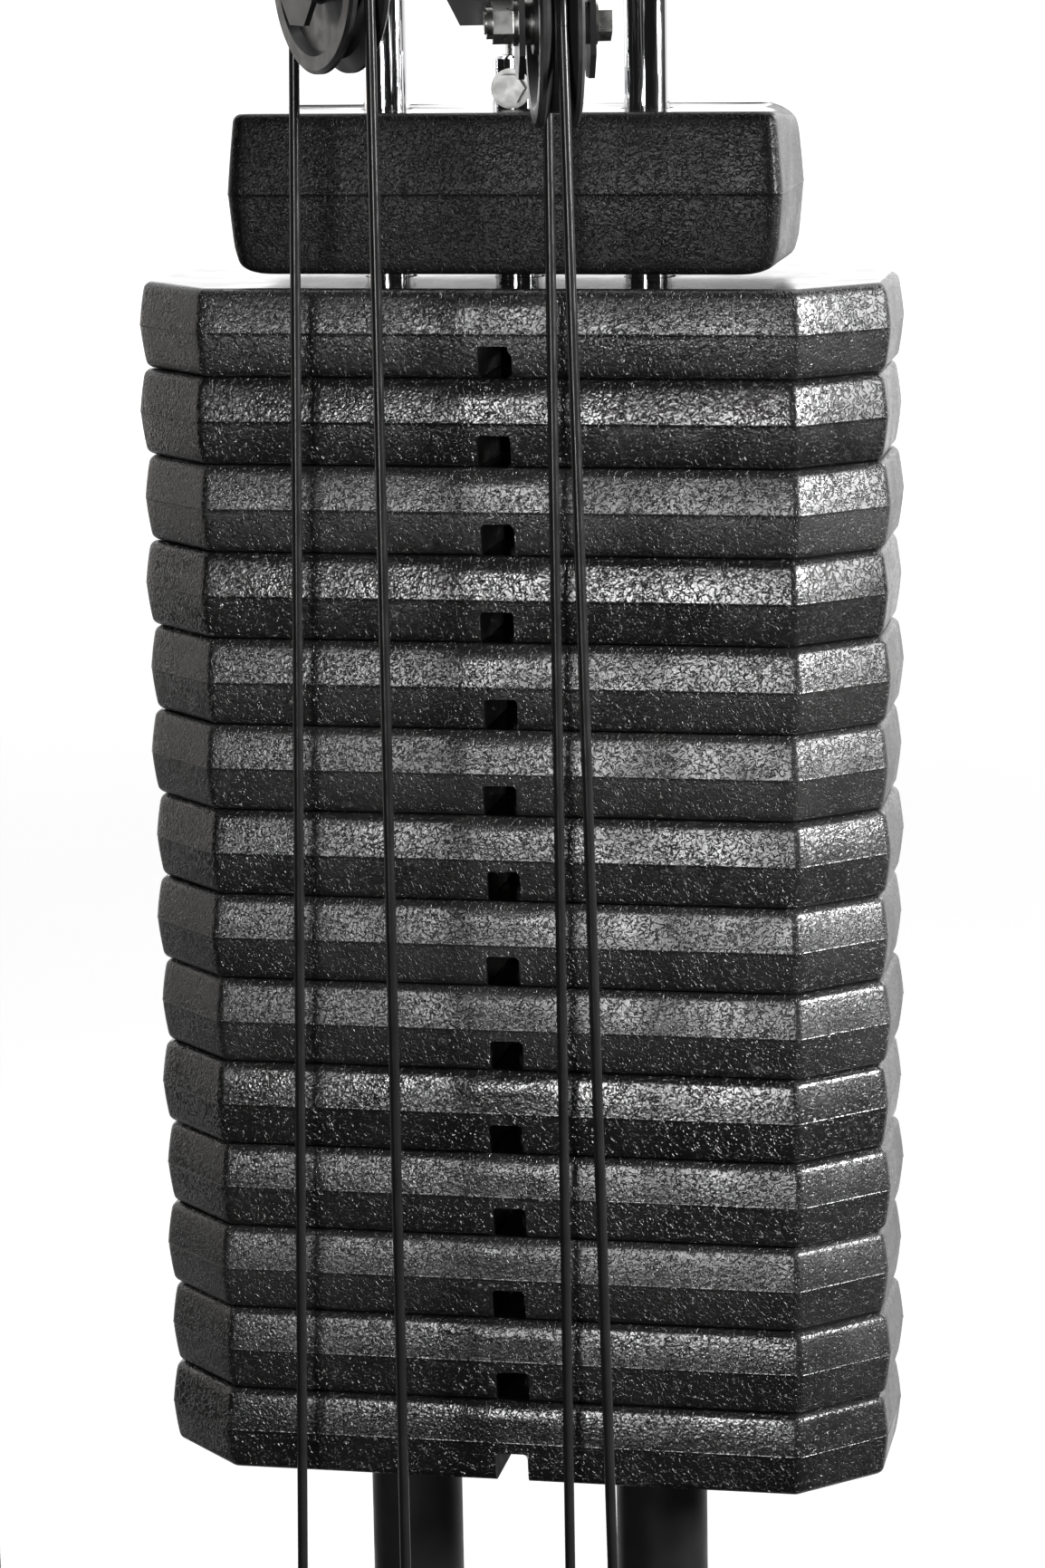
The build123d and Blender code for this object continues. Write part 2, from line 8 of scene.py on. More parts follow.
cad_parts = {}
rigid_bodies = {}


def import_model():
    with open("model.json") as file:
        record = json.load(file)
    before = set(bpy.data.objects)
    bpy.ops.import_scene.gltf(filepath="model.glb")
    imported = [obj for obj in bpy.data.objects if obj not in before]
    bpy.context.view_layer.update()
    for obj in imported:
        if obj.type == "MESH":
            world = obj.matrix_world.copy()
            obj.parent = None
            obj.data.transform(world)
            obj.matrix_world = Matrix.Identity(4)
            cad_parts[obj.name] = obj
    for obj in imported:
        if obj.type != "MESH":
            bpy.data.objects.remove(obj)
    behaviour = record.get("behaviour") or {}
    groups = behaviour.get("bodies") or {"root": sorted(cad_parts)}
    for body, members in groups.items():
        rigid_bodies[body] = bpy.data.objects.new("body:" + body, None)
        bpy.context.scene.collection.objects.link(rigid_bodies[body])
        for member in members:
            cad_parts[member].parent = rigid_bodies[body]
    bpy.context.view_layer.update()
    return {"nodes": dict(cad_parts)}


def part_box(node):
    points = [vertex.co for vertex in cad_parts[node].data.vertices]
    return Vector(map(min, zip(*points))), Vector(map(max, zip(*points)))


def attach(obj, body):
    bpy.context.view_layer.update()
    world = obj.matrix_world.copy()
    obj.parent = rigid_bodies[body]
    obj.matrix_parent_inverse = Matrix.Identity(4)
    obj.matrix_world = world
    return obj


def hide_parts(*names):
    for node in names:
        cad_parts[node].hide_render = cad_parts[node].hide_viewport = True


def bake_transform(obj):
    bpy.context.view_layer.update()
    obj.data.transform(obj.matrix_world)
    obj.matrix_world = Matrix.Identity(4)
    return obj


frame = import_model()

# Multi station home gym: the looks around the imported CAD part. Metres, the part's own frame:
# X from the weight stack to the seat, -Y the cable side, Z up.

MM = 0.001
PLATES = 14

# ------------------------------------------------------------------ materials


class Nodes:
    """Adds shader nodes to a new material and links them."""

    def __init__(self, name):
        self.material = bpy.data.materials.new(name)
        self.material.use_nodes = True
        self.tree = self.material.node_tree
        self.shader = self.tree.nodes["Principled BSDF"]
        self.place = self.tree.nodes.new("ShaderNodeTexCoord").outputs["Object"]

    def add(self, kind, inputs=None, **settings):
        node = self.tree.nodes.new(kind)
        for key, value in settings.items():
            setattr(node, key, value)
        for key, value in (inputs or {}).items():
            if isinstance(value, bpy.types.NodeSocket):
                self.tree.links.new(value, node.inputs[key])
            else:
                node.inputs[key].default_value = value
        return node

    def stretched(self, scale):
        return self.add("ShaderNodeMapping", {"Vector": self.place, "Scale": scale}).outputs["Vector"]

    def noise(self, scale, detail=2.0, distortion=0.0, place=None):
        inputs = {"Vector": place or self.place, "Scale": scale, "Detail": detail, "Distortion": distortion}
        return self.add("ShaderNodeTexNoise", inputs).outputs["Fac"]

    def ramp(self, value, low, high, out_low=0.0, out_high=1.0):
        inputs = {"Value": value, "From Min": low, "From Max": high, "To Min": out_low, "To Max": out_high}
        return self.add("ShaderNodeMapRange", inputs, interpolation_type="SMOOTHSTEP").outputs["Result"]

    def math(self, operation, first, second=0.0):
        node = self.add("ShaderNodeMath", {0: first, 1: second}, operation=operation)
        return node.outputs[0]

    def colours(self, value, dark, light):
        node = self.add("ShaderNodeMix", {"Factor": value}, data_type="RGBA")
        node.inputs["A"].default_value = (*dark, 1)
        node.inputs["B"].default_value = (*light, 1)
        return node.outputs["Result"]

    def bump(self, height, distance, strength=1.0, normal=None):
        inputs = {"Height": height, "Distance": distance, "Strength": strength}
        if normal:
            inputs["Normal"] = normal
        return self.add("ShaderNodeBump", inputs).outputs["Normal"]

    def surface(self, colour=None, roughness=None, normal=None, **constants):
        for key, value in (("Base Color", colour), ("Roughness", roughness), ("Normal", normal)):
            if isinstance(value, bpy.types.NodeSocket):
                self.tree.links.new(value, self.shader.inputs[key])
            elif value is not None:
                self.shader.inputs[key].default_value = (*value, 1) if key == "Base Color" else value
        for key, value in constants.items():
            self.shader.inputs[key.replace("_", " ")].default_value = value
        return self.material


MOULDED_BLACKS = (0.005, 0.005, 0.0052), (0.0095, 0.0092, 0.009)


def moulded_plastic(name, gloss, grain, depth, tone=1.0, shine=0.5):
    """Black moulded plastic with a labyrinth of fine channels between pebbles."""
    n = Nodes(name)
    worms = n.noise(grain, 1.2, 0.7)
    ridge = n.math("ABSOLUTE", n.math("SUBTRACT", worms, 0.5))
    pebbles = n.ramp(ridge, 0.004, 0.07)
    fade = n.ramp(n.noise(14, 2), 0.38, 0.62, 0.75, 1.0)
    height = n.math("MULTIPLY", pebbles, fade)
    domes = n.noise(grain * 1.7, 1.0, 0.3)
    normal = n.bump(domes, depth * 0.8, 0.55, n.bump(height, depth, 1.0))
    patches = n.ramp(n.noise(9, 3), 0.35, 0.7)
    dark, light = ([part * tone for part in black] for black in MOULDED_BLACKS)
    colour = n.colours(patches, dark, light)
    roughness = n.ramp(n.noise(30, 3), 0.3, 0.7, gloss - 0.05, gloss + 0.06)
    return n.surface(colour, roughness, normal, Specular_IOR_Level=shine)


def flat_plastic():
    """The same plastic on the flat faces of the plates, where the mould was smooth."""
    n = Nodes("stack_plastic_flat")
    colour = n.colours(n.noise(30, 3), (0.006, 0.006, 0.006), (0.012, 0.012, 0.012))
    roughness = n.ramp(n.noise(45, 3), 0.3, 0.7, 0.1, 0.18)
    return n.surface(colour, roughness, n.bump(n.noise(500, 2), 0.03 * MM, 0.5), Specular_IOR_Level=0.36)


def slot_painted_shade():
    """Painted shade for the inside of the pin slots, where little light gets in: a near-black plastic with
    almost no shine.
    """
    n = Nodes("stack_plastic_slot")
    colour = n.colours(n.noise(30, 3), (0.001, 0.001, 0.001), (0.002, 0.002, 0.002))
    roughness = n.ramp(n.noise(120, 3), 0.3, 0.7, 0.5, 0.6)
    return n.surface(colour, roughness, n.bump(n.noise(500, 2), 0.05 * MM, 0.5), Specular_IOR_Level=0.04)


def chrome():
    n = Nodes("chrome_plate")
    drawn = n.noise(60, 3, 0.0, n.stretched((9, 9, 0.6)))
    roughness = n.ramp(drawn, 0.3, 0.7, 0.035, 0.09)
    colour = n.colours(n.noise(25, 3), (0.74, 0.74, 0.76), (0.84, 0.84, 0.85))
    return n.surface(colour, roughness, n.bump(n.noise(45, 1), 0.04 * MM, 0.4), Metallic=1.0)


def satin_chrome():
    """A duller plating for the bar and handle, dark enough to show against a white ground."""
    n = Nodes("satin_chrome")
    drawn = n.noise(60, 3, 0.0, n.stretched((2, 0.6, 2)))
    roughness = n.ramp(drawn, 0.3, 0.7, 0.2, 0.28)
    colour = n.colours(n.noise(25, 3), (0.26, 0.26, 0.27), (0.32, 0.32, 0.32))
    return n.surface(colour, roughness, n.bump(n.noise(45, 1), 0.04 * MM, 0.4), Metallic=1.0)


def zinc():
    n = Nodes("zinc_plate")
    colour = n.colours(n.noise(120, 2), (0.46, 0.46, 0.45), (0.54, 0.54, 0.52))
    roughness = n.ramp(n.noise(160, 2), 0.3, 0.7, 0.26, 0.34)
    return n.surface(colour, roughness, n.bump(n.noise(260, 1), 0.01 * MM, 0.3), Metallic=1.0)


def dull_zinc():
    n = Nodes("dull_zinc")
    colour = n.colours(n.noise(120, 2), (0.3, 0.3, 0.3), (0.36, 0.36, 0.35))
    roughness = n.ramp(n.noise(160, 2), 0.3, 0.7, 0.5, 0.6)
    return n.surface(colour, roughness, n.bump(n.noise(260, 1), 0.01 * MM, 0.3), Metallic=1.0)


def powder_coat(name, shine):
    n = Nodes(name)
    peel = n.noise(650, 2)
    colour = n.colours(n.ramp(n.noise(20, 3), 0.35, 0.7), (0.0075, 0.0075, 0.008), (0.013, 0.013, 0.013))
    roughness = n.ramp(n.noise(55, 3), 0.3, 0.7, 0.3, 0.42)
    return n.surface(colour, roughness, n.bump(peel, 0.06 * MM, 0.7), Specular_IOR_Level=shine)


def cable_jacket():
    n = Nodes("cable_jacket")
    lay = n.noise(240, 2, 0.0, n.stretched((1, 1, 0.3)))
    colour = n.colours(n.noise(40, 2), (0.006, 0.006, 0.006), (0.012, 0.012, 0.012))
    roughness = n.ramp(lay, 0.3, 0.7, 0.16, 0.28)
    return n.surface(colour, roughness, n.bump(lay, 0.05 * MM, 0.4), Specular_IOR_Level=0.16)


def pulley_nylon():
    n = Nodes("pulley_nylon")
    colour = n.colours(n.noise(35, 3), (0.008, 0.008, 0.0085), (0.016, 0.016, 0.016))
    roughness = n.ramp(n.noise(120, 3), 0.3, 0.7, 0.28, 0.42)
    return n.surface(colour, roughness, n.bump(n.noise(700, 2), 0.04 * MM, 0.5))


def rubber():
    n = Nodes("rubber")
    colour = n.colours(n.noise(60, 3), (0.011, 0.011, 0.011), (0.021, 0.02, 0.02))
    roughness = n.ramp(n.noise(150, 2), 0.3, 0.7, 0.58, 0.75)
    return n.surface(colour, roughness, n.bump(n.noise(1100, 2), 0.08 * MM, 0.8))


def vinyl():
    """Upholstery vinyl: small cells with creases between them and a few longer wrinkles."""
    n = Nodes("upholstery_vinyl")
    same = n.stretched((1, 1, 1))
    doubled = n.add("ShaderNodeVectorMath", {0: n.place, 1: same}, operation="ADD").outputs[0]
    cells = n.add("ShaderNodeTexVoronoi", {"Vector": doubled, "Scale": 320.0}, feature="DISTANCE_TO_EDGE")
    creases = n.ramp(cells.outputs["Distance"], 0.0, 0.12)
    wrinkles = n.noise(42, 4, 0.9)
    normal = n.bump(wrinkles, 0.5 * MM, 0.35, n.bump(creases, 0.12 * MM, 0.8))
    colour = n.colours(n.ramp(n.noise(12, 3), 0.3, 0.7), (0.012, 0.012, 0.013), (0.021, 0.021, 0.022))
    roughness = n.ramp(n.noise(70, 3), 0.3, 0.7, 0.36, 0.5)
    return n.surface(colour, roughness, normal, Sheen_Weight=0.08, Sheen_Roughness=0.5)


def thread():
    n = Nodes("stitching_thread")
    colour = n.colours(n.noise(900, 2), (0.05, 0.05, 0.052), (0.1, 0.1, 0.1))
    return n.surface(colour, 0.75, n.bump(n.noise(2400, 2), 0.1 * MM, 0.8))


def studio_floor_material():
    """White, glowing more with the distance so that only the machine's own soft shadow shows on it."""
    n = Nodes("studio_floor")
    colour = n.colours(n.noise(3, 4), (0.86, 0.86, 0.86), (0.9, 0.9, 0.9))
    reach = n.add("ShaderNodeVectorMath", {0: n.place}, operation="LENGTH").outputs["Value"]
    n.tree.links.new(n.ramp(reach, 1.5, 7.0, 0.37, 0.95), n.shader.inputs["Emission Strength"])
    return n.surface(colour, 0.9, None, Emission_Color=(1, 1, 1, 1))


SATIN, SOFT, GLOSSY = "satin", "soft", "glossy"
STACK = {
    SATIN: moulded_plastic("stack_plastic_satin", 0.27, 345, 0.42 * MM),
    SOFT: moulded_plastic("stack_plastic_soft", 0.31, 360, 0.38 * MM, 1.25),
    GLOSSY: moulded_plastic("stack_plastic_glossy", 0.21, 330, 0.42 * MM, 0.8),
}
HEAD_PLASTIC = moulded_plastic("head_plastic", 0.3, 350, 0.36 * MM, 0.7, 0.11)
# The ends of the head take a lighter, shinier copy of the head plastic: painted light on the ends.
HEAD_ENDS_PAINTED_LIGHT = moulded_plastic("head_plastic_ends", 0.3, 350, 0.36 * MM, 0.9, 0.3)
# The slot material is painted shade: near black, for the walls inside the pin slots.
FLAT_PLASTIC, SLOT_PAINTED_SHADE = flat_plastic(), slot_painted_shade()
CHROME, SATIN_CHROME, ZINC, DULL_ZINC = chrome(), satin_chrome(), zinc(), dull_zinc()
PAINT, RISER_PAINT = powder_coat("black_powder_coat", 0.45), powder_coat("riser_paint", 0.1)
JACKET, NYLON, RUBBER = cable_jacket(), pulley_nylon(), rubber()
VINYL, THREAD = vinyl(), thread()

CAD_FINISH = {
    "guide_rods": CHROME,
    "selector_stem": CHROME,
    "stem_cross_bolt": DULL_ZINC,
    "lift_cable_end": ZINC,
    "fixed_bolts_and_anchors": ZINC,
    "low_block_axles": ZINC,
    "high_block_axles": ZINC,
    "low_block_bracket": PAINT,
    "high_block_bracket": PAINT,
    "pulley_hangers": PAINT,
    "riser_tubes": PAINT,
    "riser_bumpers": RUBBER,
    "foot_end_caps": RUBBER,
    "selector_pin": CHROME,
    "base_frame": PAINT,
    "uprights": PAINT,
    "top_beam": PAINT,
    "seat_frame": PAINT,
    "lat_bar": SATIN_CHROME,
    "row_handle": SATIN_CHROME,
    "low_block_cable_loops": JACKET,
    "high_block_cable_loops": JACKET,
    "lift_cable_over_pulleys": JACKET,
}


def finish_cad_nodes():
    for name, node in frame["nodes"].items():
        material = CAD_FINISH.get(name, NYLON if name.endswith("_pulley") else None)
        if material:
            node.data.materials.clear()
            node.data.materials.append(material)


# ---------------------------------------------------------------- mesh helpers


def shade(mesh, sharp_angle=35.0):
    mesh.shade_smooth()
    mesh.set_sharp_from_angle(angle=radians(sharp_angle))


def piece(name, vertices, faces, material, sharp_angle=35.0):
    mesh = bpy.data.meshes.new(name)
    mesh.from_pydata([tuple(v) for v in vertices], [], faces)
    mesh.validate()
    mesh.materials.append(material)
    shade(mesh, sharp_angle)
    made = bpy.data.objects.new(name, mesh)
    bpy.context.scene.collection.objects.link(made)
    return made


def place(made, body, slot, *nodes):
    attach(made, body)
    if nodes:
        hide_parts(*nodes)
    return made


def rings_to_faces(rings, count, closed=False):
    """Quads between rings of the same number of points."""
    faces = []
    pairs = rings if closed else rings - 1
    for r in range(pairs):
        a, b = r * count, ((r + 1) % rings) * count
        for i in range(count):
            j = (i + 1) % count
            faces.append((a + i, a + j, b + j, b + i))
    return faces


def closed_loft(rings, count):
    """The faces between rings, and one over each end."""
    last = (rings - 1) * count
    return rings_to_faces(rings, count) + [tuple(reversed(range(count))), tuple(range(last, last + count))]


def circle(sides):
    """The angles of the corners of a round section."""
    return [2 * pi * k / sides for k in range(sides)]


def directions(axis):
    """The unit axis and two directions square to it."""
    axis = Vector(axis).normalized()
    side = axis.orthogonal().normalized()
    return axis, side, axis.cross(side)


def evaluated_copy(source):
    """The mesh of an object with its modifiers applied."""
    graph = bpy.context.evaluated_depsgraph_get()
    return bpy.data.meshes.new_from_object(source.evaluated_get(graph))


def cut(target, cutters):
    """Takes the cutters out of the target and removes them."""
    for cutter in cutters:
        step = target.modifiers.new("cut", "BOOLEAN")
        step.operation, step.solver, step.object = "DIFFERENCE", "EXACT", cutter
    cut_mesh = evaluated_copy(target)
    target.modifiers.clear()
    target.data = cut_mesh
    for cutter in cutters:
        bpy.data.objects.remove(cutter)


def tube(name, points, radius, material, sides=20):
    """A round tube along points, closed by flat ends."""
    points = [Vector(p) for p in points]
    last = len(points) - 1
    vertices, side = [], None
    for i, point in enumerate(points):
        along = (points[min(i + 1, last)] - points[max(i - 1, 0)]).normalized()
        side = along.orthogonal() if side is None else side - along * side.dot(along)
        side.normalize()
        other = along.cross(side)
        vertices += [point + (side * cos(angle) + other * sin(angle)) * radius for angle in circle(sides)]
    return piece(name, vertices, closed_loft(len(points), sides), material)


def turned(name, profile, centre, axis, material, sides=48):
    """A closed solid of revolution: profile is (distance along the axis, radius)."""
    axis, side, other = directions(axis)
    vertices = []
    for along, radius in profile:
        middle = Vector(centre) + axis * along
        vertices += [middle + (side * cos(angle) + other * sin(angle)) * radius for angle in circle(sides)]
    return piece(name, vertices, closed_loft(len(profile), sides), material)


# ------------------------------------------------------------- moulded plates


def rotated(vector, angle):
    across = vector.x * cos(angle) - vector.y * sin(angle)
    return Vector((across, vector.x * sin(angle) + vector.y * cos(angle)))


def convex_ring(corners, inset, radius, arc_steps, edge_steps):
    """Points of a convex outline moved inwards and rounded, as many for any inset."""
    count = len(corners)
    normals = []
    for i in range(count):
        edge = (corners[(i + 1) % count] - corners[i]).normalized()
        normals.append(Vector((-edge.y, edge.x)))
    arcs = []
    for i in range(count):
        before, after = normals[i - 1], normals[i]
        bisector = (before + after) / (1 + before.dot(after))
        middle = corners[i] + bisector * (inset + radius)
        turn = -before.angle_signed(after)
        arcs.append([middle - rotated(before, turn * k / arc_steps) * radius for k in range(arc_steps + 1)])
    ring = []
    for i in range(count):
        ring += arcs[i]
        start, end = arcs[i][-1], arcs[(i + 1) % count][0]
        for k in range(1, edge_steps[i]):
            ring.append(start.lerp(end, k / edge_steps[i]))
    return ring


def side_profile(half, slope, crown, edge, steps=6):
    """(inset, height) from the flat bottom to the flat top of a slab that is widest at its middle.
    slope is the mean draft of the side, and crown the share of it that grows towards the edge."""
    def inset(z):
        share = abs(z) / half
        return half * tan(radians(slope)) * (share * (1 - crown) + share * share * crown)

    touch = half - edge * 0.9
    wall = [inset(touch * k / 8) for k in range(9)]
    upper = [(wall[k], touch * k / 8) for k in range(9)]
    tilt = atan((wall[8] - wall[7]) / (touch / 8))
    centre = (wall[8] + edge * cos(tilt), touch - edge * sin(tilt))
    for k in range(1, steps + 1):
        angle = tilt + (pi / 2 - tilt) * k / steps
        upper.append((centre[0] - edge * cos(angle), centre[1] + edge * sin(angle)))
    top = upper[-1][1]
    upper = [(i, z * half / top if z > touch else z) for i, z in upper]
    return upper


def parting_line(upper, lip, step):
    """Both halves of a side with a thin flash line where the mould halves meet."""
    def beside(height):
        """On the wall close to the line, so that its shading stays narrow."""
        return (upper[1][0] * height / upper[1][1], height)

    lower = [(i + step, -z) for i, z in reversed([beside(1.6 * lip)] + upper[1:])]
    line = [(step, -0.9 * lip), (0.0, -0.35 * lip), (-0.22 * lip, 0.0), (0.0, 0.35 * lip)]
    return lower + line + [beside(1.2 * lip)] + upper[1:]


def smooth(value):
    value = min(1.0, max(0.0, value))
    return value * value * (3 - 2 * value)


def slab(name, corners, radius, profile, edge_steps, material, shape=None):
    """A moulded slab lofted from the side profile, with a flat rim before its flat faces."""
    flat = 2.5 * MM
    first, last = profile[0], profile[-1]
    rows = [(first[0] + 3 * flat, first[1]), (first[0] + flat, first[1])] + profile
    rows += [(last[0] + flat, last[1]), (last[0] + 3 * flat, last[1])]
    vertices = []
    for inset, height in rows:
        for point in convex_ring(corners, inset, max(radius - inset * 0.4, 2 * MM), 5, edge_steps):
            spot = Vector((point.x, point.y, height))
            vertices.append(shape(spot, inset) if shape else spot)
    faces = closed_loft(len(rows), len(vertices) // len(rows))
    return piece(name, vertices, faces, material)


def cutter_cylinder(x, y, radius, height):
    profile = [(-height, radius), (height, radius)]
    return turned("cutter", profile, (x, y, 0), (0, 0, 1), RUBBER, 64)


def cutter_slot(width, height, depth, bottom, corner):
    """A slot with a rounded roof, along Y through the slab and open at the bottom."""
    half = width / 2
    outline = [(-half, bottom - 5 * MM), (half, bottom - 5 * MM)]
    for centre_x, first in ((half - corner, 0), (corner - half, 90)):
        for k in range(5):
            angle = radians(first + 22.5 * k)
            outline.append((centre_x + corner * cos(angle), bottom + height - corner + corner * sin(angle)))
    vertices = [Vector((x, y, z)) for y in (-depth, depth) for x, z in outline]
    count = len(outline)
    faces = [tuple(range(count)), tuple(reversed(range(count, 2 * count)))]
    faces += [(i, i + count, (i + 1) % count + count, (i + 1) % count) for i in range(count)]
    return piece("cutter", vertices, faces, RUBBER)


ROD_X = 70 * MM
ROD_R, ROD_BORE_R, STEM_BORE_R = 12.5 * MM, 14 * MM, 13.5 * MM
PLATE_LOW, PLATE_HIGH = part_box("plate_01")
PLATE_HALF_H = (PLATE_HIGH.z - PLATE_LOW.z) / 2
PLATE_FACE, PLATE_CHAMFER = 158 * MM, 42 * MM
HALF_W, HALF_D = 201.5 * MM, 76 * MM
HUMP_HALF_W = 34 * MM
SLOT_W, SLOT_H = 18 * MM, 17 * MM
FLASH = 0.6 * MM  # size of the line where the mould halves meet
SWAY = 0.65 * MM  # every second plate stands this much to the left, the others to the right


def slot_boss(spot, inset):
    """Keeps the face upright round the pin slot: a soft boss above it that fades out below the top edge."""
    across = smooth((HUMP_HALF_W - abs(spot.x)) / (18 * MM))
    if spot.z <= 0 or abs(spot.y) < HALF_D - 12 * MM or not across:
        return spot
    upward = 1 - smooth((spot.z - 13 * MM) / (8 * MM))
    out = max(0.0, inset - spot.z * tan(radians(3.6))) * across * upward
    return Vector((spot.x, spot.y + (out if spot.y > 0 else -out), spot.z))


def plate_outline():
    end = HALF_D - PLATE_CHAMFER
    right = [(PLATE_FACE, -HALF_D), (HALF_W, -end), (HALF_W, end), (PLATE_FACE, HALF_D)]
    return [Vector(p) for p in right] + [Vector((-x, y)) for x, y in reversed(right)]


def plate_mesh(with_stem):
    upper = side_profile(PLATE_HALF_H, 8.0, 0.45, 5 * MM)
    profile = parting_line(upper, FLASH, 0.14 * MM)
    steps = [8, 8, 8, 79, 8, 8, 8, 79]
    made = slab("plate", plate_outline(), 7 * MM, profile, steps, STACK[SATIN], slot_boss)
    cutters = [cutter_cylinder(x, 0, ROD_BORE_R, PLATE_HALF_H * 2) for x in (-ROD_X, ROD_X)]
    if with_stem:
        cutters.append(cutter_cylinder(0, 0, STEM_BORE_R, PLATE_HALF_H * 2))
    cutters.append(cutter_slot(SLOT_W, SLOT_H, HALF_D * 2, -PLATE_HALF_H, 2.5 * MM))
    cut(made, cutters)
    mesh = made.data
    bpy.data.objects.remove(made)
    return mesh


PLATE_FINISH = {2: GLOSSY, 4: GLOSSY, 10: GLOSSY, 14: GLOSSY, 3: SOFT, 6: SOFT, 8: SOFT, 9: SOFT, 12: SOFT}


def flat_faces(mesh):
    """The level faces take the smooth plastic."""
    mesh.materials.append(FLAT_PLASTIC)
    for polygon in mesh.polygons:
        polygon.material_index = int(abs(polygon.normal.z) > 0.97)


def slot_walls(mesh, bottom):
    """The walls of the pin slot take the painted shade, a near-black plastic."""
    mesh.materials.append(SLOT_PAINTED_SHADE)
    for polygon in mesh.polygons:
        x, _, z = polygon.center
        if abs(x) < SLOT_W / 2 + MM and z < bottom + SLOT_H + MM and abs(polygon.normal.y) < 0.5:
            polygon.material_index = 2


def build_plates():
    bored, solid = plate_mesh(True), plate_mesh(False)
    for number in range(1, PLATES + 1):
        node = f"plate_{number:02d}"
        low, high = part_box(node)
        mesh = (solid if number == PLATES else bored).copy()
        sway = SWAY if number % 2 else -SWAY
        mesh.materials.clear()
        mesh.materials.append(STACK[PLATE_FINISH.get(number, SATIN)])
        flat_faces(mesh)
        slot_walls(mesh, -PLATE_HALF_H)
        mesh.transform(Matrix.Translation((sway, 0, (low.z + high.z) / 2)))
        shade(mesh)
        made = bpy.data.objects.new(f"weight_{node}", mesh)
        bpy.context.scene.collection.objects.link(made)
        place(made, "carriage" if number <= 5 else "frame", "stack_plastic", node)


HEAD_HALF_W, HEAD_HALF_D, HEAD_STEM_BORE_R = 147.5 * MM, 50 * MM, 12.6 * MM
HEAD_END = 26 * MM  # how far in from each end of the head the corners are rounded
HEAD_LEVEL = 0.62  # share of the half height, above and below, where the rounding begins


def build_head():
    low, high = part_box("head_block")
    half = (high.z - low.z) / 2
    upper = side_profile(half, 5.2, 0.2, 4.5 * MM)
    profile = parting_line(upper, FLASH, 0.2 * MM)
    x, y = HEAD_HALF_W, HEAD_HALF_D
    corners = [Vector(p) for p in ((-x, -y), (x, -y), (x, y), (-x, y))]

    def rounded_ends(spot, _inset):
        """The bottom corners are rounder than the top ones, and the ends fall off a little at the top."""
        side = smooth((abs(spot.x) - (x - HEAD_END)) / HEAD_END)
        down = smooth((-spot.z - half * HEAD_LEVEL) / (half * (1 - HEAD_LEVEL)))
        upward = smooth((spot.z - half * HEAD_LEVEL) / (half * (1 - HEAD_LEVEL)))
        drop = 7.5 * MM * smooth((spot.y + y) / (2 * y)) * upward * side * side
        lift = 4 * MM * down * side * side
        return Vector((spot.x * (1 - 0.008 * down * side), spot.y, spot.z + lift - drop))

    steps = [60, 20, 60, 20]
    made = slab("counterweight_head", corners, 8 * MM, profile, steps, HEAD_PLASTIC, rounded_ends)
    cutters = [cutter_cylinder(bore_x, 0, ROD_BORE_R, half * 2) for bore_x in (-ROD_X, ROD_X)]
    cutters.append(cutter_cylinder(0, 0, HEAD_STEM_BORE_R, half * 2))
    cut(made, cutters)
    made.data.transform(Matrix.Translation((0, 0, (low.z + high.z) / 2)))
    flat_faces(made.data)
    # Painted light: the end faces get the lighter, shinier copy of the head plastic.
    made.data.materials.append(HEAD_ENDS_PAINTED_LIGHT)
    for polygon in made.data.polygons:
        if abs(polygon.normal.x) > 0.75:
            polygon.material_index = 2
    shade(made.data)
    place(made, "carriage", "stack_plastic", "head_block")


# -------------------------------------------------------------- rods and tubes


def build_rods():
    """Smooth chrome guide rods, and the riser tubes with a bevelled, open top edge."""
    low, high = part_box("guide_rods")
    riser_low, riser_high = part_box("riser_tubes")
    bevel = 1 * MM
    outer, inner = 25.4 * MM, 23.0 * MM
    for name, x in (("left", -ROD_X), ("right", ROD_X)):
        profile = [(low.z, ROD_R - bevel), (low.z + bevel, ROD_R)]
        profile += [(high.z - bevel, ROD_R), (high.z, ROD_R - bevel)]
        rod = turned(f"guide_rod_{name}", profile, (x, 0, 0), (0, 0, 1), CHROME, 96)
        place(rod, "frame", "chrome", "guide_rods")
        wall = [(riser_low.z, inner), (riser_low.z, outer - 0.5 * MM), (riser_low.z + 0.5 * MM, outer)]
        wall += [(riser_high.z - 0.8 * MM, outer), (riser_high.z, outer - 0.8 * MM), (riser_high.z, inner)]
        riser = open_turned(f"riser_tube_{name}", wall, (x, 0, 0), RISER_PAINT)
        place(riser, "frame", "frame_paint", "riser_tubes")


def open_turned(name, wall, centre, material, sides=96):
    """A ring of revolution about Z: wall is a closed section of (height, radius)."""
    vertices = []
    for height, radius in wall:
        for angle in circle(sides):
            vertices.append(Vector(centre) + Vector((radius * cos(angle), radius * sin(angle), height)))
    return piece(name, vertices, rings_to_faces(len(wall), sides, closed=True), material)


# --------------------------------------------------------------------- cables

CABLE_R = 2.75 * MM
GROOVE_R = 48.25 * MM
BLOCK_Y = -140 * MM
BLOCK_SPACING = 125 * MM
LOW_BLOCK = (-66 * MM, 36.0, 1047.6 * MM)  # x, turn of the wheel plane, height of the lower axle
HIGH_BLOCK = (47 * MM, 15.0, 1020.3 * MM)
TOP_Z = 1890 * MM
BASE_Z = 112 * MM
GAP = 0.4 * MM
LOW_DRIFT, HIGH_DRIFT = 20 * MM, 17 * MM
DECK_Z = 56 * MM
ANCHOR_L = 34 * MM
CROWN_Z = 1984 * MM
MAST_WHEEL_TURN = 116.66  # degrees, of the mast's top wheel and the wheel over the lat bar


def away(point, turn, distance):
    return (point[0] + distance * sin(radians(turn)), point[1] - distance * cos(radians(turn)))


